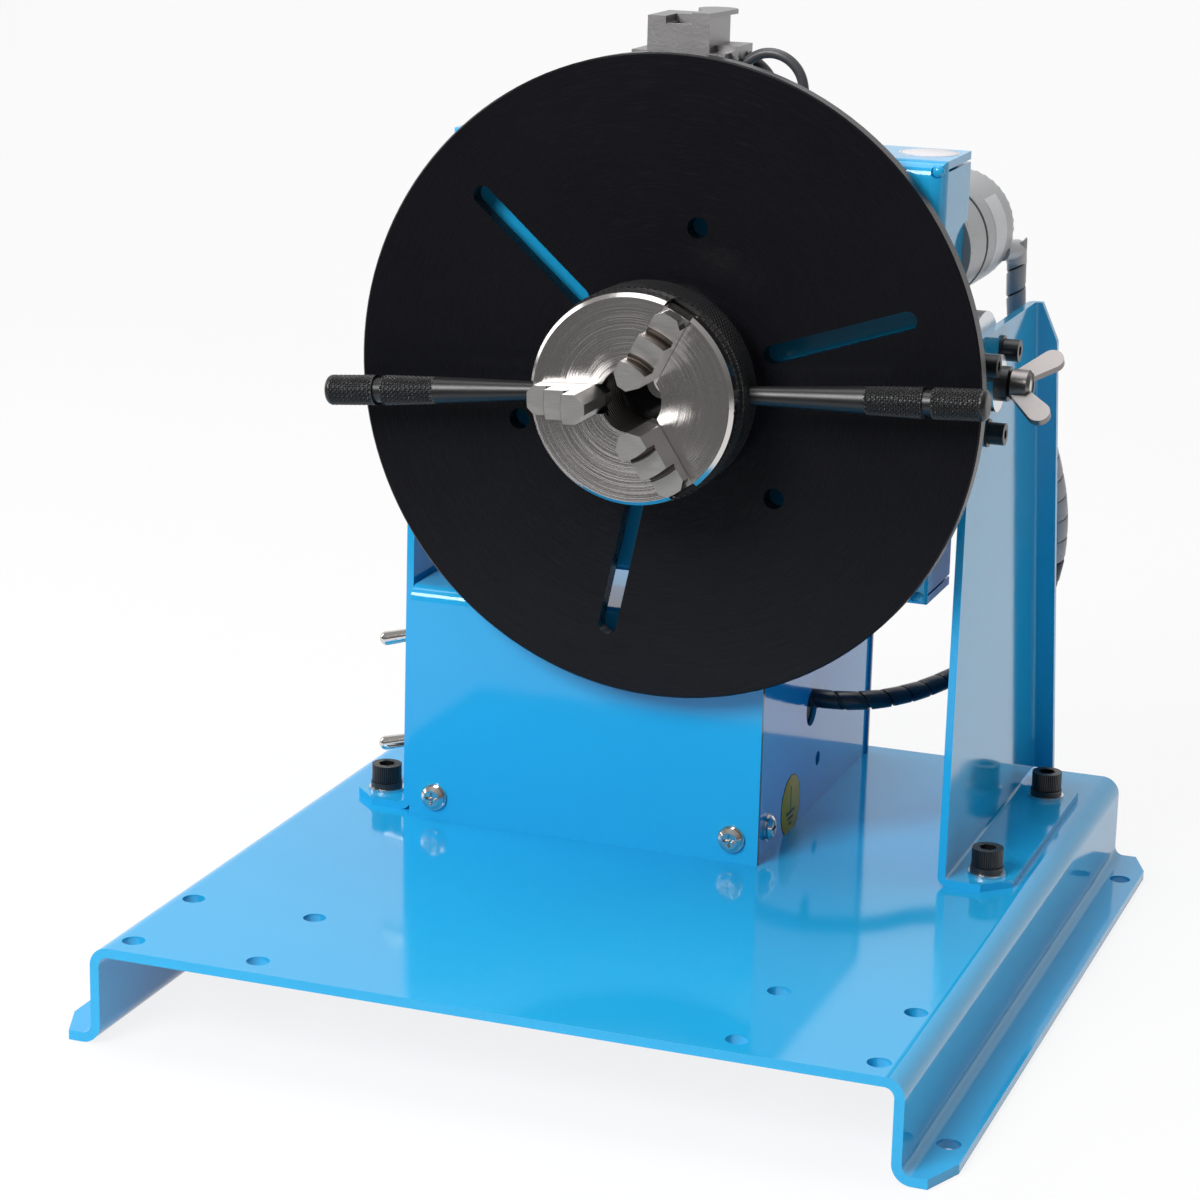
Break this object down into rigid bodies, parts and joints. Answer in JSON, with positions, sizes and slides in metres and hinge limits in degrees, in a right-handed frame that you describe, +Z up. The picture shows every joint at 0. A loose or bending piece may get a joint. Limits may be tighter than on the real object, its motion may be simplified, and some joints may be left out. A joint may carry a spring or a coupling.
{
  "type": "welding positioner",
  "caption": "Small bench welding positioner: motor-driven slotted turntable with a scroll chuck, tilting between two sheet brackets on a bent base with a control box",
  "frame": {"origin": "centre of the base at the bench surface", "axes": "+Z up, +X right, the table faces -Y at tilt 0"},
  "size_m": [0.276, 0.285, 0.3],
  "materials": {
    "aluminium": "cast and machined aluminium",
    "black_oxide": "black oxide steel",
    "blue_paint": "glossy sky blue powder coat",
    "brass": "bearing bronze",
    "cable_wrap": "grey spiral wrap",
    "carbon": "pressed carbon",
    "chuck_steel": "turned satin steel",
    "dark_rubber": "black rubber",
    "knob_black": "black phenolic",
    "lead_grey": "dark grey insulation",
    "motor_paint": "light grey painted steel",
    "nickel": "nickel plated",
    "table_black": "black oxide, turned",
    "zinc_steel": "zinc plated"
  },
  "bodies": {
    "stand": {"base_nuts": "zinc_steel", "base_plate": "blue_paint", "bolt_washers_1": "zinc_steel", "bolt_washers_2": "zinc_steel", "bolt_washers_3": "zinc_steel", "bolt_washers_4": "zinc_steel", "box_chassis": "blue_paint", "box_cover": "blue_paint", "bracket_bolt_1": "black_oxide", "bracket_bolt_2": "black_oxide", "bracket_bolt_3": "black_oxide", "bracket_bolt_4": "black_oxide", "bracket_left": "blue_paint", "bracket_right": "blue_paint", "cable_grommet": "dark_rubber", "clamp_washers_left": "zinc_steel", "cover_screw_1": "zinc_steel", "cover_screw_2": "zinc_steel", "earth_screw": "zinc_steel", "hub_screw_right_1": "black_oxide", "hub_screw_right_2": "black_oxide", "hub_screw_right_3": "black_oxide", "hub_screws_left": "black_oxide", "motor_cable": "cable_wrap", "pivot_hub_left": "black_oxide", "pivot_hub_right": "black_oxide", "speed_potentiometer": "knob_black", "toggle_body_1": "nickel", "toggle_body_2": "nickel"},
    "tilt_head": {"tilt_pan": "blue_paint", "back_cover": "blue_paint", "trunnion_left": "zinc_steel", "trunnion_right": "zinc_steel", "lock_nut": "zinc_steel", "bearing_front": "brass", "bearing_rear": "brass", "clamp_washers_right": "zinc_steel", "motor_gearbox": "motor_paint", "motor_can": "motor_paint", "brush_stand": "blue_paint", "brush_holder": "aluminium", "carbon_brush": "carbon", "brush_lead_1": "lead_grey", "brush_lead_2": "lead_grey"},
    "spindle_body": {"table": "table_black", "spindle": "chuck_steel", "spindle_gear": "chuck_steel", "chuck_back_plate": "chuck_steel", "chuck_body": "chuck_steel"},
    "pinion_body": {"motor_pinion": "chuck_steel"},
    "scroll_body": {"scroll_ring": "black_oxide", "tommy_bar_right": "black_oxide", "tommy_bar_left": "black_oxide"},
    "jaw_body_1": {"jaw_1": "chuck_steel"},
    "jaw_body_2": {"jaw_2": "chuck_steel"},
    "jaw_body_3": {"jaw_3": "chuck_steel"},
    "wing_nut_body": {"wing_nut": "nickel"},
    "toggle_lever_body_1": {"toggle_lever_1": "nickel"},
    "toggle_lever_body_2": {"toggle_lever_2": "nickel"},
    "knob_body": {"speed_knob": "knob_black"}
  },
  "joints": [
    {"name": "tilt", "type": "hinge", "parent": "stand", "child": "tilt_head", "pos_m": [0.003, 0.0342, 0.1892], "axis": [-1, 0, 0], "range_deg": [0, 90], "deforming": ["motor_cable"]},
    {"name": "table_spin", "type": "hinge", "parent": "tilt_head", "child": "spindle_body", "pos_m": [0.003, 0, 0.188], "axis": [0, -1, 0], "continuous": true},
    {"name": "pinion_spin", "type": "hinge", "parent": "tilt_head", "child": "pinion_body", "pos_m": [0.06439, 0.03, 0.22562], "axis": [0, -1, 0], "continuous": true},
    {"name": "scroll_turn", "type": "hinge", "parent": "spindle_body", "child": "scroll_body", "pos_m": [0.003, -0.0225, 0.188], "axis": [0, -1, 0], "range_deg": [-360, 360]},
    {"name": "jaw_slide_1", "type": "slide", "parent": "spindle_body", "child": "jaw_body_1", "axis": [-0.9986, 0, -0.0523], "range_m": [-0.004, 0.004]},
    {"name": "jaw_slide_2", "type": "slide", "parent": "spindle_body", "child": "jaw_body_2", "axis": [0.5446, 0, -0.8387], "range_m": [-0.004, 0.004]},
    {"name": "jaw_slide_3", "type": "slide", "parent": "spindle_body", "child": "jaw_body_3", "axis": [0.454, 0, 0.891], "range_m": [-0.004, 0.004]},
    {"name": "wing_nut_turn", "type": "hinge", "parent": "tilt_head", "child": "wing_nut_body", "pos_m": [0.1, 0.0342, 0.1892], "axis": [1, 0, 0], "range_deg": [-180, 180]},
    {"name": "toggle_1", "type": "hinge", "parent": "stand", "child": "toggle_lever_body_1", "pos_m": [-0.0849, 0.03, 0.089], "axis": [0, 1, 0], "range_deg": [0, 30]},
    {"name": "toggle_2", "type": "hinge", "parent": "stand", "child": "toggle_lever_body_2", "pos_m": [-0.0849, 0.03, 0.052], "axis": [0, 1, 0], "range_deg": [0, 30]},
    {"name": "knob_turn", "type": "hinge", "parent": "stand", "child": "knob_body", "pos_m": [-0.0849, 0.074, 0.072], "axis": [-1, 0, 0], "range_deg": [0, 270]}
  ],
  "couplings": [
    {"joint": "pinion_spin", "follows": "table_spin", "ratio": -5},
    {"joint": "jaw_slide_1", "follows": "scroll_turn", "m_per_rad": -0.00063662},
    {"joint": "jaw_slide_2", "follows": "scroll_turn", "m_per_rad": -0.00063662},
    {"joint": "jaw_slide_3", "follows": "scroll_turn", "m_per_rad": -0.00063662}
  ]
}
